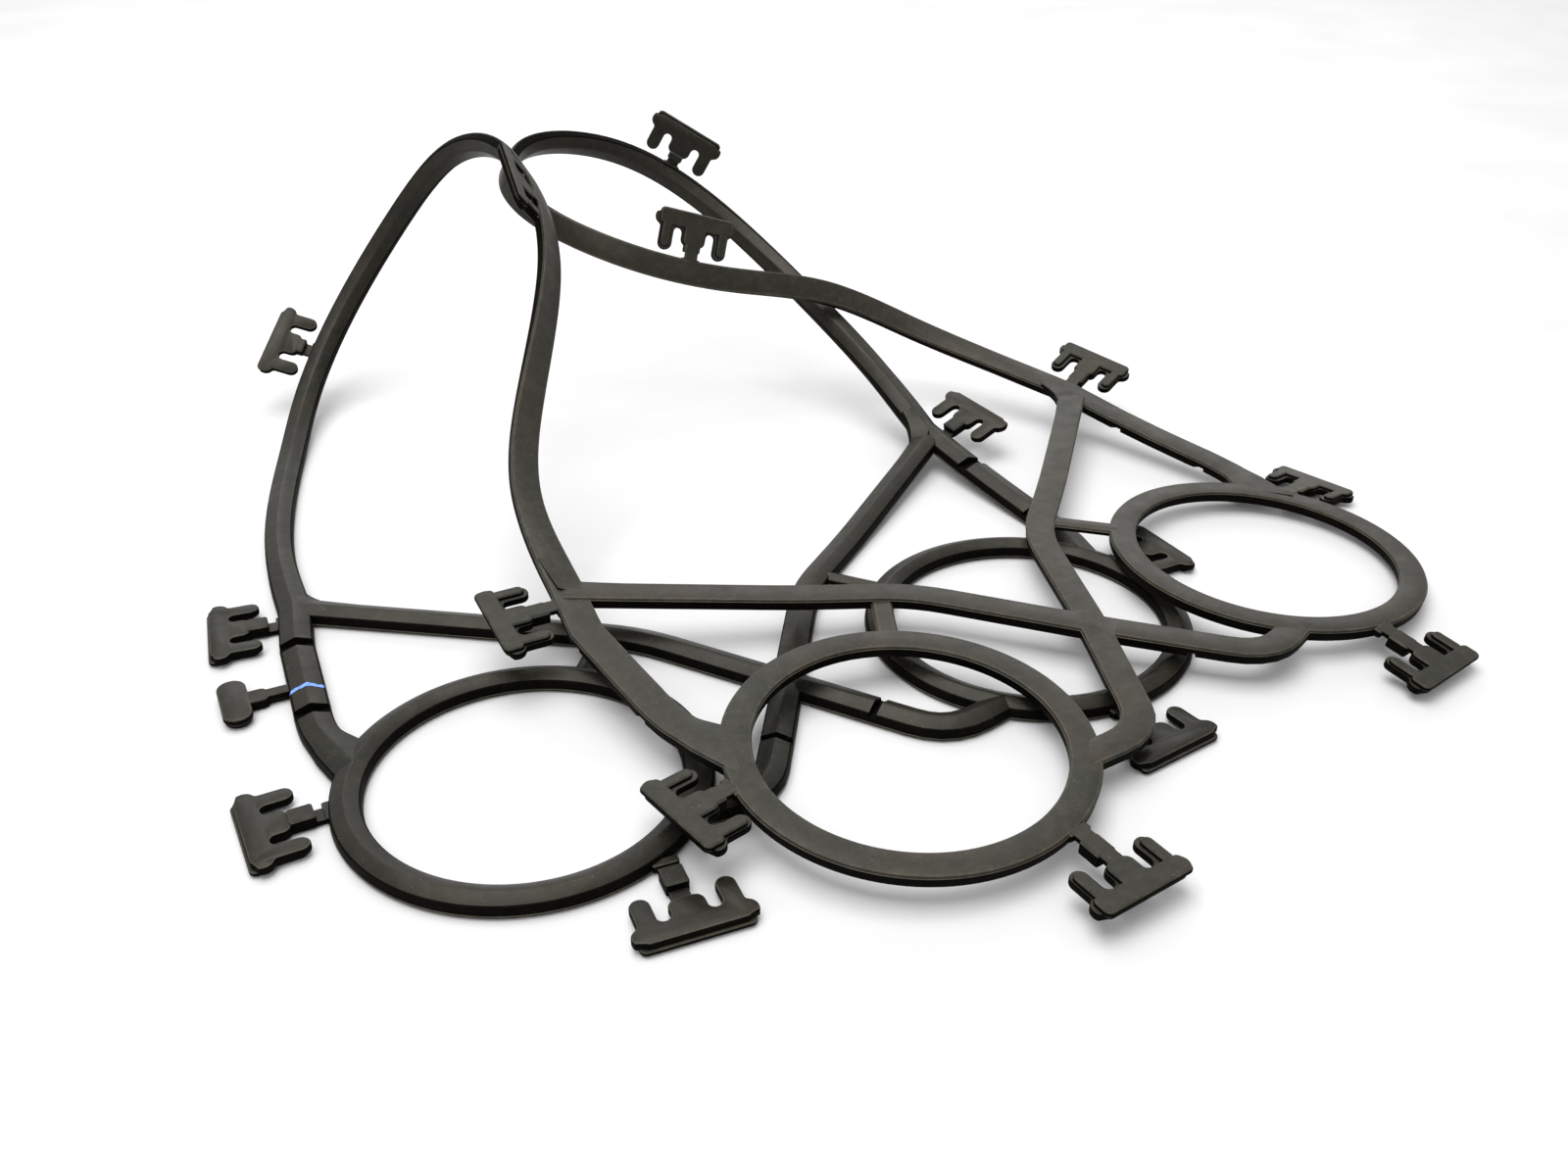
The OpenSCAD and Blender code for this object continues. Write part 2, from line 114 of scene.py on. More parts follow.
# Heights of the flat face: branch, half way, bend, crossing, end of the tail, ring
STRAND_Z = {
    (LOWER, LEFT): (0.1, 0, 0, 0, 0, 0),
    (LOWER, RIGHT): (5.4, 0.3, 0, 0, 0, 0),
    (UPPER, LEFT): (17.2, 12.5, 10.8, 10.3, 9.5, 8.7),
    (UPPER, RIGHT): (14.2, 11.9, 10.7, 10.3, 9.7, 8.9),
}
BAR_Z = {
    (LOWER, LEFT): (0, 0, 0, 0, 0),
    (LOWER, RIGHT): (0, 0, 0.1, 1.8, 3.3),
    (UPPER, LEFT): (11.2, 11.8, 12.3, 13.7, 15),
    (UPPER, RIGHT): (6.2, 6.6, 7.5, 9.3, 11),
}
# Plans of the left and right members alike: across from the end's middle, and along
BRANCH_XY = (100, 95.5)
STRAND_PLAN = [BRANCH_XY, (50, 59.2), (25, 41), (0, 4.5), (-24.5, -31.5), (-42, -28)]
BAR_PLAN = [(103.5, 21), (107.5, 37.5), (107.2, 46), (105.6, 63.5), (104.4, 77)]
# How far each point of an upper strand's plan bows along the end
UPPER_BOW = [0, 2, 4.5, 0, 0, 0]
# Where a strand ends and the crossing's tail goes on, past the strand's bend
SPLIT_L = 15
# How far along the tail its groove is, from the crossing to the tail's bend
TAIL_GROOVE_AT = 0.57


# ---- Vectors, places and paths ----------------------------------------------


def unit(v):
    return v / np.linalg.norm(v)


def square_to(v, t):
    """The part of v that is square to the direction t."""
    return unit(v - (v @ t) * t)


def mix(a, b, share):
    return a + (b - a) * share


def ease(x):
    x = min(max(x, 0), 1)
    return x * x * (3 - 2 * x)


def place(end, x, y, z):
    """An end's own across, along and up as a place in the gasket."""
    if end == LOWER:
        return np.array([x + PORT_PITCH / 2, y, z])
    c, s = math.cos(UPPER_TURN), math.sin(UPPER_TURN)
    return np.array([UPPER_MID[0] + x * c - y * s, UPPER_MID[1] + x * s + y * c, z])


def spot(end, side, xy, z):
    return place(end, side * xy[0], xy[1], z)


def rounded(path, trim, turns=6):
    """A path with each inner corner rounded."""
    out = [path[0]]
    for a, b, c in zip(path, path[1:], path[2:]):
        p, q = b + trim * unit(a - b), b + trim * unit(c - b)
        out += [mix(mix(p, b, u), mix(b, q, u), u) for u in np.linspace(0, 1, turns)]
    return out + [path[-1]]


def divided(path, step):
    """A path with more points on its long legs."""
    out = [path[0]]
    for a, b in zip(path, path[1:]):
        n = max(1, round(np.linalg.norm(b - a) / step))
        out += [mix(a, b, k / n) for k in range(1, n + 1)]
    return out


def headings(path):
    last = len(path) - 1
    return [unit(path[min(i + 1, last)] - path[max(i - 1, 0)]) for i in range(last + 1)]


# A station is a section's middle, its sideways direction and its direction to the ridge.


def band_stations(path, end):
    """Stations of a band whose flat face follows the path."""
    out = []
    for p, t in zip(path, headings(path)):
        n = square_to(np.array([0, 0, float(end)]), t)
        out.append((p + n * RIDGE_H / 2, np.cross(t, n), n))
    return out


class Rail:
    """A side rail's middle line, with its ridge carried along and twisted about it."""

    def __init__(self, side):
        self.twist = TWISTS[side]
        route = [np.array(p, float) for p in ROUTES[side]]
        c = [2 * route[0] - route[1], *route, 2 * route[-1] - route[-2]]
        self.line = [self.span(c, k, u) for k in range(len(route) - 1) for u in np.arange(0, 0.96, 0.05)]
        self.line.append(route[-1])
        steps = [np.linalg.norm(b - a) for a, b in zip(self.line, self.line[1:])]
        self.lengths = np.concatenate([[0], np.cumsum(steps)])
        self.length = self.lengths[-1]
        self.headings = headings(self.line)
        self.carried = [square_to(np.array([0, 0, 1.0]), self.headings[0])]
        for t in self.headings[1:]:
            self.carried.append(square_to(self.carried[-1], t))

    @staticmethod
    def span(c, k, u):
        """One span of a uniform cubic spline."""
        weights = ((1 - u) ** 3, 3 * u**3 - 6 * u**2 + 4, -3 * u**3 + 3 * u**2 + 3 * u + 1, u**3)
        return sum(w * c[k + i] for i, w in enumerate(weights)) / 6

    def station(self, s):
        k = float(np.interp(s, self.lengths, np.arange(len(self.line))))
        i = min(int(k), len(self.line) - 2)
        t = unit(mix(self.headings[i], self.headings[i + 1], k - i))
        n = square_to(mix(self.carried[i], self.carried[i + 1], k - i), t)
        angle, growth = self.twist
        angle = math.radians(angle) * (s / self.length) ** growth
        m = n * math.cos(angle) + np.cross(t, n) * math.sin(angle)
        return mix(self.line[i], self.line[i + 1], k - i), np.cross(t, m), m


RAILS = {side: Rail(side) for side in (LEFT, RIGHT)}


def rail_width(rail, s):
    """A rail is as wide as its outer bar where it leaves it, and slims down from there."""
    away = min(s, rail.length - s) - BAR_JOIN
    return mix(BAR_W, RAIL_W, ease(away / RAIL_FADE))


# ---- Sections ---------------------------------------------------------------

# Zones of the rubber: ridge side, side walls darkened as painted shade, edges and flash paled as a painted
# highlight, duller flat side
FACE, PAINTED_SHADE_ZONE, PAINTED_HIGHLIGHT_ZONE, FLAT = 0, 1, 2, 3


class Section:
    """A closed outline, with the zone of each side that starts at each of its points."""

    def __init__(self, points, zones):
        self.points = np.array(points, float)
        self.zones = zones


def eased_section(corners, turns=3):
    """Section through (x, y, size, corner's zone, next side's zone) corners, each eased over its size."""
    points, zones = [], []
    for i, (x, y, size, corner_zone, side_zone) in enumerate(corners):
        b = np.array([x, y], float)
        if size == 0:
            points.append(b)
            zones.append(side_zone)
            continue
        a, c = (np.array(corners[(i + k) % len(corners)][:2], float) for k in (-1, 1))
        p, q = b + size * unit(a - b), b + size * unit(c - b)
        points += [mix(mix(p, b, u), mix(b, q, u), u) for u in np.linspace(0, 1, turns)]
        zones += [corner_zone] * (turns - 1) + [side_zone]
    return Section(points, zones)


FLASH_Y = 0.75
FLASH_W = 0.24
FLASH_HALF_H = 0.13
SHOULDER = 0.45
CREST = 0.42


def band_section(left, right, low=0, wall=WALL_H, ridge=RIDGE_H, foot=SHOULDER):
    """A band's section: flat face below, flash low on each wall, a ridge above.

    left and right are how far it reaches from the ridge's line. y is 0 at half height.
    """
    flash = low + FLASH_Y
    rise = FLASH_HALF_H
    section = eased_section([
        (-left, low, foot, PAINTED_HIGHLIGHT_ZONE, FLAT),
        (right, low, foot, PAINTED_HIGHLIGHT_ZONE, PAINTED_SHADE_ZONE),
        (right, flash - rise, 0, PAINTED_HIGHLIGHT_ZONE, PAINTED_HIGHLIGHT_ZONE),
        (right + FLASH_W, flash, 0, PAINTED_HIGHLIGHT_ZONE, PAINTED_HIGHLIGHT_ZONE),
        (right, flash + rise, 0, PAINTED_HIGHLIGHT_ZONE, PAINTED_SHADE_ZONE),
        (right, wall, SHOULDER, PAINTED_SHADE_ZONE, FACE),
        (0, ridge, CREST, FACE, FACE),
        (-left, wall, SHOULDER, PAINTED_SHADE_ZONE, PAINTED_SHADE_ZONE),
        (-left, flash + rise, 0, PAINTED_HIGHLIGHT_ZONE, PAINTED_HIGHLIGHT_ZONE),
        (-left - FLASH_W, flash, 0, PAINTED_HIGHLIGHT_ZONE, PAINTED_HIGHLIGHT_ZONE),
        (-left, flash - rise, 0, PAINTED_HIGHLIGHT_ZONE, PAINTED_SHADE_ZONE),
    ])
    section.points[:, 1] -= RIDGE_H / 2
    return section


def notched(section, floor=GROOVE_FLOOR):
    """The same section cut down to a groove's floor."""
    points = section.points.copy()
    points[:, 1] = np.minimum(points[:, 1], floor - RIDGE_H / 2)
    cut = points[:, 1] < section.points[:, 1]
    # The cut faces take the zone with painted shade.
    zones = [PAINTED_SHADE_ZONE if above else zone for above, zone in zip(cut, section.zones)]
    return Section(points, zones)


# ---- Shells -----------------------------------------------------------------
# A shell is (points, faces, each face's zone) of one closed surface.


def swept(stations, sections):
    """Closed shell through one section at each station."""
    points = []
    for (middle, sideways, up), section in zip(stations, sections):
        points.append(middle + section.points[:, :1] * sideways + section.points[:, 1:] * up)
    sides, last = len(points[0]), len(stations) - 1
    faces, zones = [], []
    for i in range(last):
        for j in range(sides):
            a, b = i * sides + j, i * sides + (j + 1) % sides
            faces.append((a, b, b + sides, a + sides))
        here, there = sections[i].zones, sections[i + 1].zones
        zones += [a if a == b else PAINTED_SHADE_ZONE for a, b in zip(here, there)]
    faces.append(tuple(range(sides)))
    faces.append(tuple(last * sides + j for j in range(sides)))
    return np.concatenate(points), faces, zones + [PAINTED_SHADE_ZONE, PAINTED_SHADE_ZONE]


def turned_ring(section, radius, segments=144):
    """Closed shell of a section turned about the vertical axis."""
    x, y = radius + section.points[:, 0], section.points[:, 1] + RIDGE_H / 2
    angles = np.linspace(0, 2 * math.pi, segments, endpoint=False)
    points = [np.stack([x * math.cos(a), x * math.sin(a), y], 1) for a in angles]
    sides = len(x)
    faces = []
    for i in range(segments):
        here, there = i * sides, (i + 1) % segments * sides
        for j in range(sides):
            k = (j + 1) % sides
            faces.append((here + j, here + k, there + k, there + j))
    return np.concatenate(points), faces, section.zones * segments


def plate(outline, layers):
    """Closed shell of a flat outline, offset outward by each (height, offset) layer."""
    outline = np.asarray(outline, float)
    x, y = outline.T
    if np.sum(x * np.roll(y, -1) - y * np.roll(x, -1)) < 0:
        outline = outline[::-1]
    ahead, behind = np.roll(outline, -1, 0) - outline, outline - np.roll(outline, 1, 0)
    edges = [e / np.linalg.norm(e, axis=1)[:, None] for e in (ahead, behind)]
    normals = [np.stack([e[:, 1], -e[:, 0]], 1) for e in edges]
    miter = normals[0] + normals[1]
    miter /= np.maximum(np.sum(miter * normals[0], axis=1), 0.5)[:, None]
    points = [
        np.concatenate([outline + offset * miter, np.full((len(outline), 1), float(z))], 1)
        for z, offset in layers
    ]
    sides = len(outline)
    faces, zones = [], []
    for i in range(len(layers) - 1):
        for j in range(sides):
            a, b = i * sides + j, i * sides + (j + 1) % sides
            faces.append((a, b, b + sides, a + sides))
    for (z0, offset0), (z1, offset1) in zip(layers, layers[1:]):
        zones += [PAINTED_SHADE_ZONE if abs(z1 - z0) > 2 * abs(offset1 - offset0) else PAINTED_HIGHLIGHT_ZONE] * sides
    faces.append(tuple(range(sides)))
    faces.append(tuple((len(layers) - 1) * sides + j for j in range(sides)))
    return np.concatenate(points), faces, zones + [FLAT, FACE]


def moved(shell, matrix):
    points, faces, zones = shell
    m = np.array(matrix, float)
    return points @ m[:3, :3].T + m[:3, 3], faces, zones


JOIN_DIST = 0.004


def mesh_object(name, shell, materials):
    points, faces, zones = shell
    mesh = bpy.data.meshes.new(name)
    mesh.from_pydata([tuple(p) for p in points], [], faces)
    for material in materials:
        mesh.materials.append(material)
    mesh.polygons.foreach_set("material_index", [min(z, len(materials) - 1) for z in zones])
    made = bpy.data.objects.new(name, mesh)
    bpy.context.scene.collection.objects.link(made)
    tidy_mesh(mesh)
    return made


def tidy_mesh(mesh):
    """Joins points that coincide, drops faces without area and turns all faces outward."""
    bm = bmesh.new()
    bm.from_mesh(mesh)
    bmesh.ops.remove_doubles(bm, verts=bm.verts, dist=JOIN_DIST)
    bmesh.ops.dissolve_degenerate(bm, edges=bm.edges, dist=JOIN_DIST / 2)
    bmesh.ops.recalc_face_normals(bm, faces=bm.faces)
    bm.to_mesh(mesh)
    bm.free()


def combine(made, other):
    """Unites another object's solid with this one, and removes the other."""
    step = made.modifiers.new("combine", "BOOLEAN")
    step.operation = "UNION"
    step.solver = "EXACT"
    step.object = other
    depsgraph = bpy.context.evaluated_depsgraph_get()
    result = bpy.data.meshes.new_from_object(made.evaluated_get(depsgraph))
    made.modifiers.remove(step)
    made.data = result
    bpy.data.objects.remove(other)


def piece(name, materials, shells, crease=32):
    """One finished piece: its shells united, in metres."""
    made = mesh_object(name, shells[0], materials)
    for shell in shells[1:]:
        combine(made, mesh_object("added", shell, materials))
    made.data.transform(Matrix.Scale(MM, 4))
    made.data.name = name
    made.data.shade_smooth()
    made.data.set_sharp_from_angle(angle=math.radians(crease))
    return made


# ---- Materials --------------------------------------------------------------


class Nodes:
    """A short way to build a material's nodes."""

    def __init__(self, name):
        self.material = bpy.data.materials.new(name)
        self.material.use_nodes = True
        self.tree = self.material.node_tree
        self.shader = self.tree.nodes["Principled BSDF"]
        self.where = self.add("ShaderNodeTexCoord").outputs["Object"]

    def add(self, kind, **settings):
        node = self.tree.nodes.new(kind)
        for key, value in settings.items():
            setattr(node, key, value)
        return node

    def link(self, source, target):
        if hasattr(source, "is_output"):
            self.tree.links.new(source, target)
        else:
            target.default_value = source

    def noise(self, size_mm, detail=3, roughness=0.55):
        """Noise whose blotches are about size_mm across, from 0 to 1."""
        node = self.add("ShaderNodeTexNoise")
        node.inputs["Scale"].default_value = 1 / (size_mm * MM)
        node.inputs["Detail"].default_value = detail
        node.inputs["Roughness"].default_value = roughness
        self.link(self.where, node.inputs["Vector"])
        return node.outputs["Fac"]

    def ramp(self, value, low, high, start=0, stop=1):
        node = self.add("ShaderNodeMapRange")
        for key, number in (("From Min", low), ("From Max", high), ("To Min", start), ("To Max", stop)):
            node.inputs[key].default_value = number
        self.link(value, node.inputs["Value"])
        return node.outputs["Result"]

    def blend(self, share, a, b):
        node = self.add("ShaderNodeMix", data_type="RGBA")
        for value, socket in ((share, "Factor_Float"), (a, "A_Color"), (b, "B_Color")):
            target = next(s for s in node.inputs if s.identifier == socket)
            self.link((*value, 1) if isinstance(value, tuple) else value, target)
        return next(s for s in node.outputs if s.identifier == "Result_Color")

    def bump(self, height, depth_mm, onto=None):
        node = self.add("ShaderNodeBump")
        node.inputs["Distance"].default_value = depth_mm * MM
        self.link(height, node.inputs["Height"])
        if onto is not None:
            self.link(onto, node.inputs["Normal"])
        return node.outputs["Normal"]


def rubber(name, lightness, rough, gloss, dust_share):
    """Matte black rubber, mottled warm and cool, with dust in its grain."""

    def shade(red, green, blue):
        return (red * lightness, green * lightness, blue * lightness)

    nodes = Nodes(name)
    cool = nodes.ramp(nodes.noise(38), 0.38, 0.62)
    tone = nodes.blend(cool, shade(0.0145, 0.0128, 0.0096), shade(0.0105, 0.0108, 0.0086))
    brown = nodes.ramp(nodes.noise(11, detail=4), 0.5, 0.72, 0, 0.8)
    tone = nodes.blend(brown, tone, shade(0.024, 0.0185, 0.0125))
    grime = nodes.ramp(nodes.noise(2.6, detail=5, roughness=0.7), 0.45, 0.7, 0, 0.55)
    tone = nodes.blend(grime, tone, shade(0.03, 0.0275, 0.0215))
    dust = nodes.ramp(nodes.noise(0.5, detail=1), 0.73, 0.79, 0, dust_share)
    tone = nodes.blend(dust, tone, (0.16, 0.15, 0.13))
    nodes.link(tone, nodes.shader.inputs["Base Color"])
    smooth = nodes.ramp(nodes.noise(7, detail=4), 0.3, 0.7, rough - 0.06, rough + 0.08)
    nodes.link(smooth, nodes.shader.inputs["Roughness"])
    nodes.shader.inputs["Specular IOR Level"].default_value = gloss
    nodes.shader.inputs["Specular Tint"].default_value = (1, 0.95, 0.82, 1)
    wave = nodes.bump(nodes.noise(8, detail=2), 0.2)
    grain = nodes.bump(nodes.noise(0.5, detail=3), 0.03, onto=wave)
    nodes.link(grain, nodes.shader.inputs["Normal"])
    return nodes.material


def paint():
    """Thin blue paint, put on by hand."""
    nodes = Nodes("blue_paint")
    shade = nodes.ramp(nodes.noise(1.2, detail=3), 0.35, 0.65)
    tone = nodes.blend(shade, (0.085, 0.2, 0.72), (0.16, 0.31, 0.83))
    nodes.link(tone, nodes.shader.inputs["Base Color"])
    nodes.link(nodes.ramp(nodes.noise(0.8), 0.3, 0.7, 0.38, 0.55), nodes.shader.inputs["Roughness"])
    nodes.link(nodes.bump(nodes.noise(0.6, detail=2), 0.06), nodes.shader.inputs["Normal"])
    return nodes.material


RUBBER = [
    rubber("moulded_rubber_face", 0.66, 0.4, 0.2, 0.5),
    # Painted shade: a darker, less glossy and less dusty copy of the rubber for side walls, groove cuts
    # and caps.
    rubber("moulded_rubber_painted_shade", 0.15, 0.55, 0.02, 0.15),
    # Painted highlight: a paler copy of the rubber for eased edges and flash.
    rubber("moulded_rubber_painted_highlight", 2.2, 0.5, 0.2, 0.5),
    rubber("moulded_rubber_flat", 1, 0.42, 0.24, 0.6),
]
PAINT = [paint()]


def describe(replaced):
    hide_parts(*replaced)


def end_piece(end, part, shells):
    """A rubber piece that moves with its whole end."""
    name = f"{END_NAME[end]}_{part}"
    made = piece(f"{name}_rubber", RUBBER, shells)
    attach(made, f"{END_NAME[end]}_end")
    describe([name])


# ---- Rings ------------------------------------------------------------------


def ring_middle(end, side, z=0):
    return place(end, side * PORT_PITCH / 2, 0, z)


def ring_matrix(end, side):
    if end == LOWER:
        return Matrix.Translation(ring_middle(end, side))
    height, across, along = UPPER_RING_LIE[side]
    return (
        Matrix.Translation(ring_middle(end, side, height))
        @ Matrix.Rotation(UPPER_TURN, 4, "Z")
        @ Matrix.Rotation(-math.atan(across), 4, "Y")
        @ Matrix.Rotation(math.atan(along) + math.pi, 4, "X")
    )


def port_ring(end, side):
    half = (RING_R - PORT_R) / 2
    shell = turned_ring(band_section(half, half), PORT_R + half)
    end_piece(end, f"ring_{SIDE_NAME[side]}", [moved(shell, ring_matrix(end, side))])


# ---- Outer bars -------------------------------------------------------------


def grooved(path, end, widths, groove_at, groove_w):
    """Stations and sections of a band, with a groove at each point of the path given by index."""
    stations, sections = [], []
    rows = zip(band_stations(path, end), headings(path), widths)
    for i, ((middle, sideways, up), direction, width) in enumerate(rows):
        section = band_section(*width)
        if i not in groove_at:
            stations.append((middle, sideways, up))
            sections.append(section)
            continue
        for reach, cut in ((-1, False), (-1, True), (1, True), (1, False)):
            away = reach * (groove_w / 2 + (0 if cut else GROOVE_EDGE))
            stations.append((middle + direction * away, sideways, up))
            sections.append(notched(section) if cut else section)
    return stations, sections


def nearest(path, point):
    return int(np.argmin([np.linalg.norm(p - point) for p in path]))


def without_neighbours(path, keep, gap):
    """A path without the points closer than gap to the kept points."""
    kept = [path[i] for i in keep]
    out = [
        p for i, p in enumerate(path)
        if i in keep or min(np.linalg.norm(p - k) for k in kept) > gap
    ]
    return out, [nearest(out, k) for k in kept]


def bar_path(end, side):
    heights = BAR_Z[end, side]
    plan = [spot(end, side, xy, z) for xy, z in zip(BAR_PLAN, heights)]
    path = divided(rounded(plan, 4), 4)
    for groove in (plan[2], plan[4]):
        path[nearest(path, groove)] = groove
    return path, [nearest(path, plan[2]), nearest(path, plan[4])]


# How far a mitred end reaches along its band
MITRE_REACH = 7
MITRE_LIMIT = 0.5
# A bar widens by this much on its field side, and half as much outside, where it meets its ring
FLARE = 2.2
FLARE_REACH = 9


def mitred(station, centre):
    """A station turned to run along the ring about a centre, so that its band ends at the ring's ridge."""
    middle, sideways, up = station
    radial = middle - centre
    along = square_to(np.cross(up, radial), up)
    along = along * math.copysign(1, along @ sideways)
    return middle, along / max(along @ sideways, MITRE_LIMIT), up


def rail_station(end, side, s):
    """Station of a side's rail, s away from where it leaves an end, seen along the bar."""
    rail = RAILS[side]
    if end == LOWER:
        return rail.station(s)
    middle, sideways, up = rail.station(rail.length - s)
    return middle, -sideways, up


def handed(end, side, first, second):
    """A member's (left, right), which swap between the sides and between the ends."""
    return (first, second) if side * end > 0 else (second, first)


def bar_shell(end, side):
    path, grooves = bar_path(end, side)
    path, grooves = without_neighbours(path, grooves, GROOVE_W / 2 + GROOVE_CLEAR)
    crowd = sum(np.linalg.norm(p - path[0]) < MITRE_REACH for p in path) - 1
    path, grooves = [path[0], *path[crowd + 1:]], [i - crowd for i in grooves]
    ring = ring_middle(end, side)
    widths = []
    for p in path:
        clear = np.linalg.norm(p[:2] - ring[:2]) - RING_R
        flare = FLARE * ease(1 - clear / FLARE_REACH)
        widths.append(handed(end, side, BAR_W / 2 + flare, BAR_W / 2 + 0.5 * flare))
    stations, sections = grooved(path, end, widths, grooves, GROOVE_W)
    stations[0] = mitred(stations[0], ring)
    for s in (0, BAR_JOIN / 2, BAR_JOIN):
        stations.append(rail_station(end, side, s))
        sections.append(band_section(BAR_W / 2, BAR_W / 2))
    return swept(stations, sections)


BRANCH_R = 18
# The sharp corner between rail and strand that the web rounds off
BRANCH_CORNER = (97.1, 97.8)
BRANCH_OVERLAP = 2
BRANCH_TURNS = 14
# Where the web ends inside its rail, and how that line leans
WEB_ROOT_X = 101.2
WEB_ROOT_LEAN = 0.08


def web_section(reach):
    """Section of the branch's web, from its round edge at x = 0 to its root."""
    outline = [
        (0.3, 0.05), (reach, 0.05), (reach, WALL_H + 1.2), (2.6, WALL_H + 0.5),
        (0.5, WALL_H - 0.05), (0.12, WALL_H - 0.2), (0, WALL_H - 0.5), (0, 0.35),
    ]
    return Section(outline, [FLAT, PAINTED_SHADE_ZONE, FACE, FACE, PAINTED_SHADE_ZONE, PAINTED_SHADE_ZONE, PAINTED_SHADE_ZONE, PAINTED_HIGHLIGHT_ZONE])


def branch_fillet(end, side):
    """Web in the corner between the rail and the strand, with a round edge to the plate's field."""
    slant = math.atan2(BRANCH_XY[1] - STRAND_PLAN[2][1], BRANCH_XY[0] - STRAND_PLAN[2][0])
    down_strand = np.array([math.cos(slant), math.sin(slant)])
    leg = BRANCH_R / math.tan((math.pi / 2 + slant) / 2)
    middle = np.array(BRANCH_CORNER) + [-BRANCH_R, leg]
    branch, half_way = strand_plan(end, side)[:2]
    strand_rise = (half_way[2] - branch[2]) / np.linalg.norm(half_way - branch)
    up = np.array([0, 0, float(end)])
    stations, sections = [], []
    for k, angle in enumerate(np.linspace(slant - math.pi / 2, 0, BRANCH_TURNS)):
        on_arc = middle + BRANCH_R * np.array([math.cos(angle), math.sin(angle)])
        away = (2 * k / (BRANCH_TURNS - 1) - 1) * (leg + BRANCH_OVERLAP)
        if away < 0:
            root = np.array(BRANCH_XY) + away * down_strand
            z = branch[2] - away * strand_rise
        else:
            at, _, normal = rail_station(end, side, away + 1)
            root = np.array([WEB_ROOT_X - WEB_ROOT_LEAN * away, BRANCH_XY[1] + away])
            z = (at - normal * RIDGE_H / 2)[2]
        outer, inside = spot(end, side, on_arc, z), spot(end, side, root, z)
        stations.append((outer, unit(inside - outer), up))
        sections.append(web_section(np.linalg.norm(inside - outer)))
    return swept(stations, sections)


def outer_bar(end, side):
    end_piece(end, f"bar_{SIDE_NAME[side]}", [bar_shell(end, side), branch_fillet(end, side)])


# ---- Strands, crossings and links -------------------------------------------

STRAND_TRIM = 10
# A strand widens by this much at its branch
BRANCH_SWELL = 0.5
SWELL_START = 4
SWELL_FADE = 12
# How far across from the end's middle a link leaves its strand
LINK_X = 32
LINK_SECTION = band_section(LINK_W / 2, LINK_W / 2, low=0.8, wall=2.6, ridge=3.8, foot=0.9)
# Where a link meets its ring, as shares of the ring's radius across and along
LINK_BEARING = (0.64, 0.77)
# How far a link runs from its strand, as a share of the way to the ring's middle
LINK_SHARE = 0.35


def strand_plan(end, side):
    bows = UPPER_BOW if end == UPPER else [0] * len(STRAND_PLAN)
    rows = zip(STRAND_PLAN, bows, STRAND_Z[end, side])
    return [spot(end, side, (x, y + bow), z) for (x, y), bow, z in rows]


def strand_split(plan):
    return plan[2] + SPLIT_L * unit(plan[3] - plan[2])


def strand(end, side):
    plan = strand_plan(end, side)
    path = divided(rounded([*plan[:3], strand_split(plan)], STRAND_TRIM), 5)
    sections = []
    for p in path:
        near = ease(1 - (np.linalg.norm(p - plan[0]) - SWELL_START) / SWELL_FADE)
        narrow, wide = RAIL_W / 2, RAIL_W / 2 + BRANCH_SWELL * near
        sections.append(band_section(*handed(end, side, narrow, wide)))
    end_piece(end, f"strand_{SIDE_NAME[side]}", [swept(band_stations(path, end), sections)])


def tail_shell(end, side):
    plan = strand_plan(end, side)
    groove = mix(plan[3], plan[4], TAIL_GROOVE_AT)
    path = divided(rounded([strand_split(plan), *plan[3:]], STRAND_TRIM), 5)
    path[nearest(path, groove)] = groove
    clear = TAIL_GROOVE_W / 2 + GROOVE_CLEAR
    path, grooves = without_neighbours(path, [nearest(path, groove)], clear)
    widths = [(RAIL_W / 2, RAIL_W / 2)] * len(path)
    stations, sections = grooved(path, end, widths, grooves, TAIL_GROOVE_W)
    stations[-1] = mitred(stations[-1], ring_middle(end, -side, plan[5][2]))
    return swept(stations, sections)


def crossing(end):
    end_piece(end, "crossing", [tail_shell(end, LEFT), tail_shell(end, RIGHT)])


def link(end, side):
    plan = strand_plan(end, side)
    share = (STRAND_PLAN[1][0] - LINK_X) / (STRAND_PLAN[1][0] - STRAND_PLAN[2][0])
    start = mix(plan[1], plan[2], share)
    ring = ring_middle(end, side)
    if end == UPPER:
        height, across, along = UPPER_RING_LIE[side]
        x, y = (RING_R * bearing for bearing in LINK_BEARING)
        ring[2] = height - side * across * x + along * y
    path = divided([start, mix(start, ring, LINK_SHARE)], 4)
    shell = swept(band_stations(path, end), [LINK_SECTION] * len(path))
    end_piece(end, f"link_{SIDE_NAME[side]}", [shell])


# ---- Paint ------------------------------------------------------------------

# How far along the end the stroke is
MARK_Y = 55.6
MARK_POINTS = 34
# How far the stroke sinks into the roof, and how far it stops short of the right edge
MARK_SINK = 0.12
MARK_SHORT = 0.1


def stroke_section(x, at_end):
    """Section of the brush stroke, x across the bar: a thin film with soft rims."""
    width = 0.66 + 0.1 * math.sin(1.3 * x + 1) + 0.07 * math.sin(4.1 * x)
    thick = 0.1 + 0.04 * math.sin(2.3 * x)
    rim = [(-width, -MARK_SINK), (width, -MARK_SINK), (width, 0.03)]
    rim += [(width * 0.7, thick), (-width * 0.7, thick), (-width, 0.03)]
    return Section(np.array(rim) * [0.35 if at_end else 1, 1], [FACE] * len(rim))


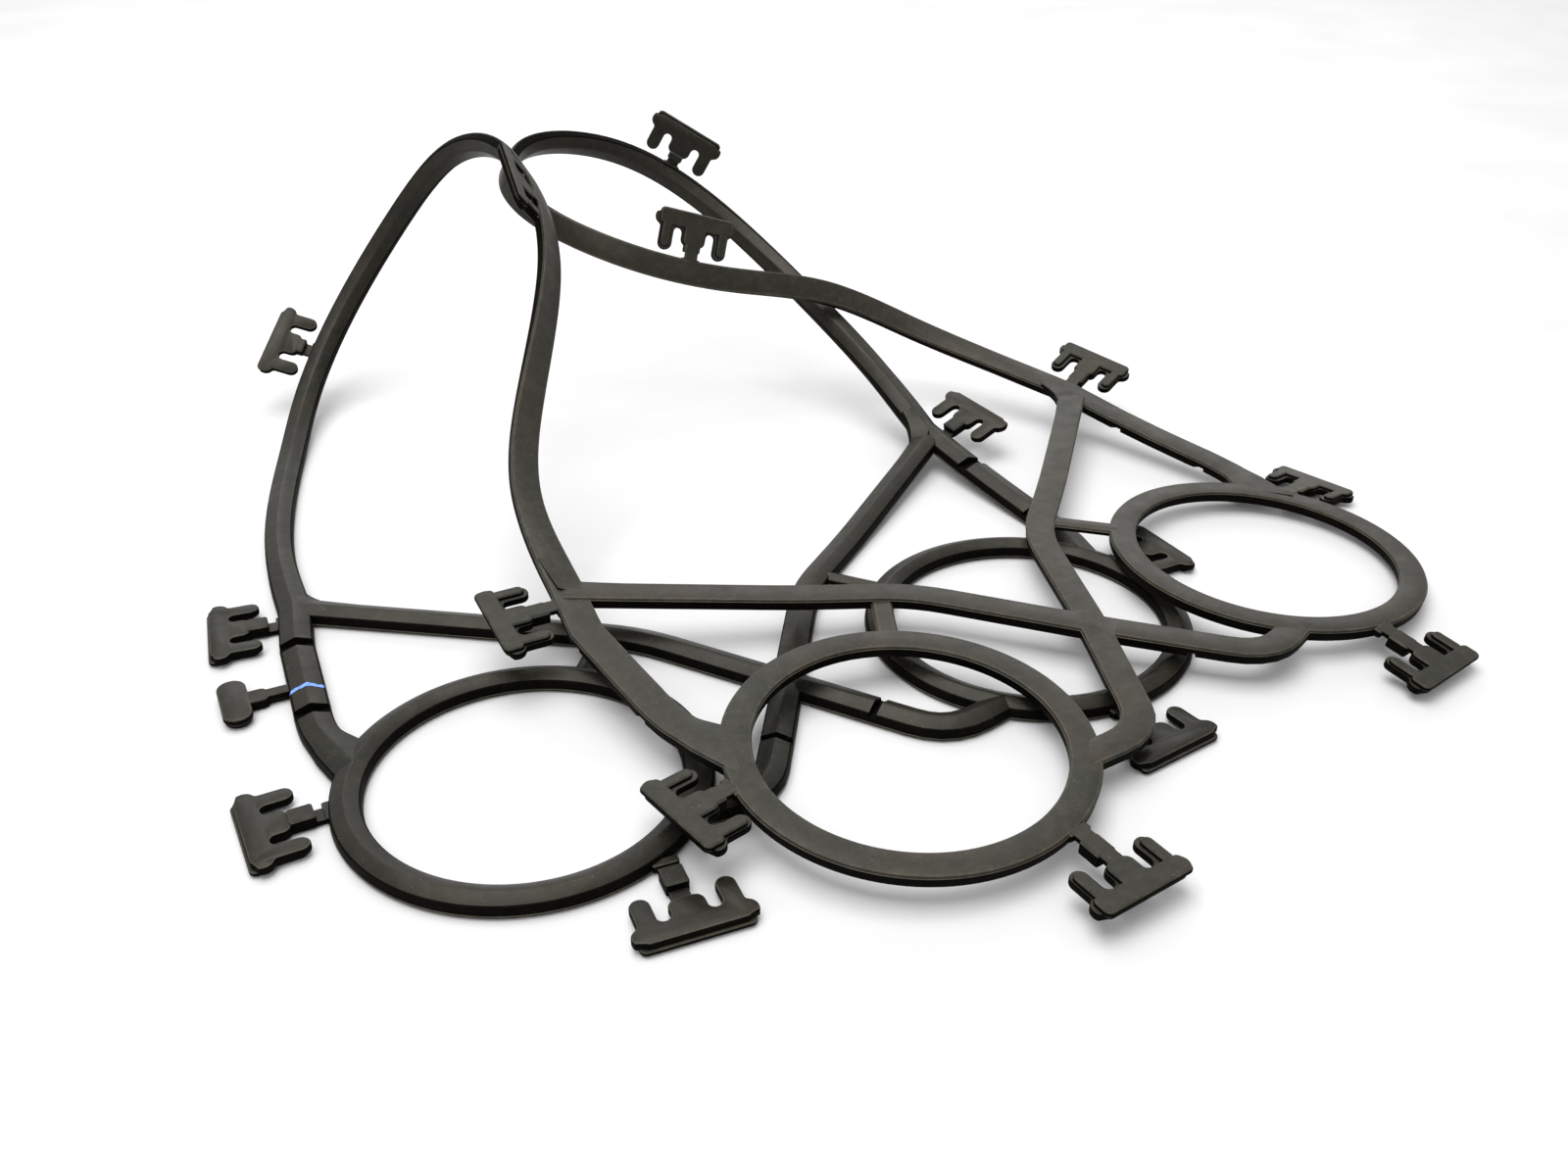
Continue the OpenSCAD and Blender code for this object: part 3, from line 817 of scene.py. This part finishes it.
def paint_mark():
    """A brush stroke over the lower left outer bar, following its roof."""
    a, b = (spot(LOWER, LEFT, BAR_PLAN[i], 0) for i in (2, 3))
    t = unit(b - a)
    middle = a + t * (MARK_Y - a[1]) / t[1]
    sideways, up = np.cross(t, [0, 0, 1.0]), np.array([0, 0, 1.0])
    half = BAR_W / 2
    across = np.linspace(-half - 0.02, half - MARK_SHORT, MARK_POINTS)
    stations, sections = [], []
    for i, x in enumerate(across):
        slope = (RIDGE_H - WALL_H) * max(abs(x), 0.2) / half
        roof = RIDGE_H - slope - 0.3 * ease((abs(x) - half + 0.5) / 0.5)
        along = 0.7 * math.cos(1.2 * (x + 1) / half) + 0.12 * math.sin(1.7 * x)
        stations.append((middle + sideways * x + up * roof + t * along, t, up))
        sections.append(stroke_section(x, i in (0, MARK_POINTS - 1)))
    made = piece("lower_paint_mark_stroke", PAINT, [swept(stations, sections)], crease=60)
    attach(made, "lower_end")
    describe(["lower_paint_mark"])


# ---- Rails ------------------------------------------------------------------

RAIL_STEP = 2.5


def rail_span(rail, start, stop):
    count = max(2, math.ceil((stop - start) / RAIL_STEP))
    places = np.linspace(start, stop, count + 1)
    halves = [rail_width(rail, s) / 2 for s in places]
    return swept([rail.station(s) for s in places], [band_section(half, half) for half in halves])


def rail_bounds(side, index):
    """Where the piece over a bend starts and stops: half way to its neighbours, or at the open pivot."""
    bends = BENDS[side]
    middles = [mix(a, b, 0.5) for a, b in zip(bends, bends[1:])]
    start = [BAR_JOIN, *middles][index]
    stop = [*middles, RAILS[side].length - BAR_JOIN][index]
    if side == RIGHT and index + 1 == OPEN_INDEX:
        stop = OPEN_PIVOT
    if side == RIGHT and index - 1 == OPEN_INDEX:
        start = OPEN_PIVOT
    return start, stop


def rail_piece(side, index):
    """A piece over one bend, meeting its neighbours on the stretch between two bends."""
    rail, bend = RAILS[side], BENDS[side][index]
    start, stop = rail_bounds(side, index)
    made = piece(f"rail_{SIDE_NAME[side]}_bend_{index + 1}", RUBBER, [rail_span(rail, start, stop)])
    before, after = SHORT_BENDS.get((side, bend), BEND_REACH)
    soft_from = bend - min(before, bend - start - BEND_MARGIN)
    soft_to = bend + min(after, stop - bend - BEND_MARGIN)
    ends = [Vector(rail.station(s)[0]) * MM for s in (soft_from, soft_to)]
    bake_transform(made)
    replaced = [f"rail_{SIDE_NAME[side]}_{max(index, 1)}"]
    if side == RIGHT and index - 1 == OPEN_INDEX:
        replaced.append(f"rail_{SIDE_NAME[side]}_{index - 1}")
    describe(replaced)


def rail_pieces(side):
    for index in range(len(BENDS[side])):
        if (side, index) != (RIGHT, OPEN_INDEX):
            rail_piece(side, index)


# ---- Clips ------------------------------------------------------------------
# A clip is drawn about the line its neck bends on: x outward, y along, z to the ridge side.

CLIP_HALF_L = 13.5
CLIP_BAR_R = 2.6
# The upper layer's bar has a straight outer edge between two small rounds
BAR_ROUND = 1.5
LOBE_FILLET_R = 1
PRONG_Y = 9.25
PRONG_R = 2.25
PRONG_TIP_X = -8.15
TRUNK_HALF_W = 4
# Middle and radius of the trunk's inner corner, and from the bar's middle to the trunk's end
TRUNK_END = (-5.6, 1.8, 2.2)
TRUNK_REACH = 7.5
SLOT_R = 1.5
NECK_HALF_W = 2.5
# From the line that a neck bends on back to the band's wall, and out to where it stops bending
ROOT_GAP = 1.85
# The neck's raised block: where it starts, and its full length
BLOCK_X = 0.7
BLOCK_L = 5.6
TEE_HALF_W = 3.5


def arc(x, y, r, start, stop, turns=8):
    """Points along an arc from one angle to another, in degrees."""
    return [
        (x + r * math.cos(math.radians(a)), y + r * math.sin(math.radians(a)))
        for a in np.linspace(start, stop, turns)
    ]


def mirrored(half):
    """A whole outline from the half on one side of the x axis."""
    return list(half) + [(x, -y) for x, y in reversed(half)]


def comb_outline():
    """Outline of a clip's upper layer, with x = 0 at the middle of its outer bar."""
    lobe_y = CLIP_HALF_L - CLIP_BAR_R
    fillet_y = PRONG_Y + PRONG_R + LOBE_FILLET_R
    reach = CLIP_BAR_R + LOBE_FILLET_R
    fillet_x = -math.sqrt(reach**2 - (fillet_y - lobe_y) ** 2)
    meet = math.degrees(math.atan2(fillet_y - lobe_y, fillet_x))
    half = arc(*TRUNK_END, 180, 90)
    half += arc(-CLIP_BAR_R - SLOT_R, TRUNK_HALF_W + SLOT_R, SLOT_R, -90, 90)
    half += arc(PRONG_TIP_X, PRONG_Y, PRONG_R, 270, 90, 12)
    half += arc(fillet_x, fillet_y, LOBE_FILLET_R, 270, 180 + meet, 5)
    half += arc(0, lobe_y, CLIP_BAR_R, meet, 60)
    half += arc(CLIP_BAR_R - 1.6, lobe_y - 0.9, BAR_ROUND, 45, 0, 4)
    return mirrored(half)


def stadium(x0, x1, y0, y1, r, turns=6):
    """A rectangle with round corners."""
    corners = ((x1 - r, y1 - r, 0), (x0 + r, y1 - r, 90), (x0 + r, y0 + r, 180), (x1 - r, y0 + r, 270))
    return [p for x, y, a in corners for p in arc(x, y, r, a, a + 90, turns)]


# (height, offset) rows of a clip's two layers and of the T tab's head and stem
UPPER_LAYER = [(-0.45, -0.12), (-0.2, 0), (1.1, 0), (1.35, -0.12), (1.5, -0.38)]
LOWER_LAYER = [(-1.5, -0.5), (-1.15, -0.12), (-0.9, 0), (-0.35, 0), (0, -0.25)]
HEAD_LAYER = [(-0.3, -0.15), (-0.05, 0), (1.15, 0), (1.4, -0.15), (1.5, -0.4)]
STEM_LAYER = [(-1.5, -0.4), (-1.2, 0), (1.1, 0), (1.4, -0.3)]


def shifted(outline, x):
    return [(px + x, py) for px, py in outline]


def comb_shells(x):
    """The two layers of a clip's comb, with its outer bar's middle at x."""
    bar = stadium(-2.2, 3.1, -12.4, 12.4, 1.5)
    trunk = stadium(-7.9, 0, -3.6, 3.6, 2.2)
    shells = [
        plate(shifted(comb_outline(), x), UPPER_LAYER),
        plate(shifted(bar, x), LOWER_LAYER),
        plate(shifted(trunk, x), LOWER_LAYER),
    ]
    for side in (-1, 1):
        y = side * (PRONG_Y + 0.35)
        finger = stadium(-9.3, -1, y - 1.55, y + 1.55, 1.5)
        shells.append(plate(shifted(finger, x), LOWER_LAYER))
    return shells


def block(x0, x1, half_w, z0, z1, ease_by=0.35):
    outline = stadium(x0, x1, -half_w, half_w, 0.45, 3)
    layers = [(z0, -ease_by), (z0 + ease_by, 0), (z1 - ease_by, 0), (z1, -ease_by)]
    return plate(outline, layers)


def neck_shells(trunk_x):
    """A neck from inside the band's wall to the trunk: a thin strip under a raised block."""
    block_l = min(BLOCK_L, trunk_x - BLOCK_X + 0.4)
    return [
        block(-ROOT_GAP - 1.2, trunk_x + 1.5, NECK_HALF_W - 0.4, -1.45, 0.1, 0.2),
        block(BLOCK_X, BLOCK_X + block_l, NECK_HALF_W + 0.1, -1.5, 2.2, 0.5),
        block(-ROOT_GAP - 1.5, -ROOT_GAP + 0.6, NECK_HALF_W + 0.5, -1.3, 0.9, 0.3),
    ]


def tee_shells(x):
    """The T tab's stem and its head, with the head's middle at x."""
    head = stadium(-TEE_HALF_W, TEE_HALF_W, -9, 9, 3.45, 9)
    foot = stadium(-3.2, 3.2, -8.6, 8.6, 3.15, 9)
    swell = stadium(-8, 0, -2.6, 2.6, 1.6)
    return [
        plate(shifted(head, x), HEAD_LAYER),
        plate(shifted(foot, x), LOWER_LAYER),
        plate(shifted(swell, x), STEM_LAYER),
        block(-ROOT_GAP - 1.5, x - 3, 1.6, -0.6, 1.45, 0.3),
        block(-ROOT_GAP - 1.2, x - 3, 1.3, -1.4, 0.4, 0.2),
    ]


def clip_frame(joint):
    """A clip's root, outward and along directions in metres, from its joint and its CAD node."""
    root = np.array(joint["pos_m"], float)
    along = unit(np.array(joint["axis"], float))
    points = np.array([v.co for v in frame["nodes"][joint["child"]].data.vertices], float)
    outward = square_to(points.mean(0) - root, along)
    reach = ((points - root) @ outward).max() / MM
    return root, outward, along, reach


def tab(joint):
    name = joint["child"]
    root, outward, along, reach = clip_frame(joint)
    ridge = np.cross(outward, along)
    if name == "lower_tee_tab":
        shells = tee_shells(reach - TEE_HALF_W)
    else:
        x = reach - CLIP_BAR_R
        shells = comb_shells(x) + neck_shells(x - TRUNK_REACH)
    made = piece(f"{name}_rubber", RUBBER, shells)
    placed = Matrix([[*row, at] for *row, at in zip(outward, along, ridge, root)] + [[0, 0, 0, 1]])
    made.data.transform(placed)
    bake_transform(made)
    describe([name])


# ---- The stage --------------------------------------------------------------

FLOOR_HALF_M = 6
FLOOR_Z_M = -0.0002
VIEWPOINT = (-67.97, -252.27, 207.93)
LENS = 32.84
PITCH = math.radians(31.44)
HEADING = math.radians(28.08)
LIT_PLACE_M = (0.1, 0.1, 0.02)


def stage_floor():
    mesh = bpy.data.meshes.new("table_top")
    corners = ((-1, -1), (1, -1), (1, 1), (-1, 1))
    points = [(x * FLOOR_HALF_M, y * FLOOR_HALF_M, FLOOR_Z_M) for x, y in corners]
    mesh.from_pydata(points, [], [(0, 1, 2, 3)])
    floor = bpy.data.objects.new("table_top", mesh)
    bpy.context.scene.collection.objects.link(floor)
    nodes = Nodes("pale_table")
    patches = nodes.ramp(nodes.noise(60, detail=4), 0.3, 0.7)
    tone = nodes.blend(patches, (0.5, 0.5, 0.5), (0.54, 0.54, 0.54))
    nodes.link(tone, nodes.shader.inputs["Base Color"])
    nodes.shader.inputs["Roughness"].default_value = 0.45
    nodes.shader.inputs["Specular IOR Level"].default_value = 0.25
    mesh.materials.append(nodes.material)


def camera():
    data = bpy.data.cameras.new("view")
    data.sensor_width = 36
    data.lens = LENS
    data.clip_start = 0.01
    made = bpy.data.objects.new("view", data)
    bpy.context.scene.collection.objects.link(made)
    level = Vector((math.sin(HEADING), math.cos(HEADING), 0))
    forward = level * math.cos(PITCH) - Vector((0, 0, math.sin(PITCH)))
    made.location = Vector(VIEWPOINT) * MM
    made.rotation_euler = forward.to_track_quat("-Z", "Y").to_euler()
    bpy.context.scene.camera = made


def softbox(name, place_m, size_m, watts):
    data = bpy.data.lights.new(name, "AREA")
    data.shape = "RECTANGLE"
    data.size, data.size_y = size_m
    data.energy = watts
    made = bpy.data.objects.new(name, data)
    bpy.context.scene.collection.objects.link(made)
    made.location = place_m
    aim = Vector(LIT_PLACE_M) - Vector(place_m)
    made.rotation_euler = aim.to_track_quat("-Z", "Y").to_euler()


def lights():
    world = bpy.data.worlds.new("studio")
    world.use_nodes = True
    background = world.node_tree.nodes["Background"]
    background.inputs["Color"].default_value = (1, 1, 1, 1)
    background.inputs["Strength"].default_value = 0.75
    bpy.context.scene.world = world
    softbox("overhead", (-0.1, 0.3, 1.7), (1.8, 1.4), 42)
    softbox("behind", (0.9, 1.6, 0.9), (2.2, 0.9), 10)
    softbox("front", (-1, -1, 1.2), (1.2, 0.9), 9)
    bpy.context.scene.view_settings.view_transform = "Standard"


# ---- The scene --------------------------------------------------------------

for end_side in (LOWER, UPPER):
    for hand in (LEFT, RIGHT):
        port_ring(end_side, hand)
        outer_bar(end_side, hand)
        strand(end_side, hand)
        link(end_side, hand)
    crossing(end_side)
paint_mark()
for hand in (LEFT, RIGHT):
    rail_pieces(hand)
for clip_joint in frame["joints"]:
    if clip_joint["name"].endswith("_flex"):
        tab(clip_joint)

stage_floor()
camera()
lights()
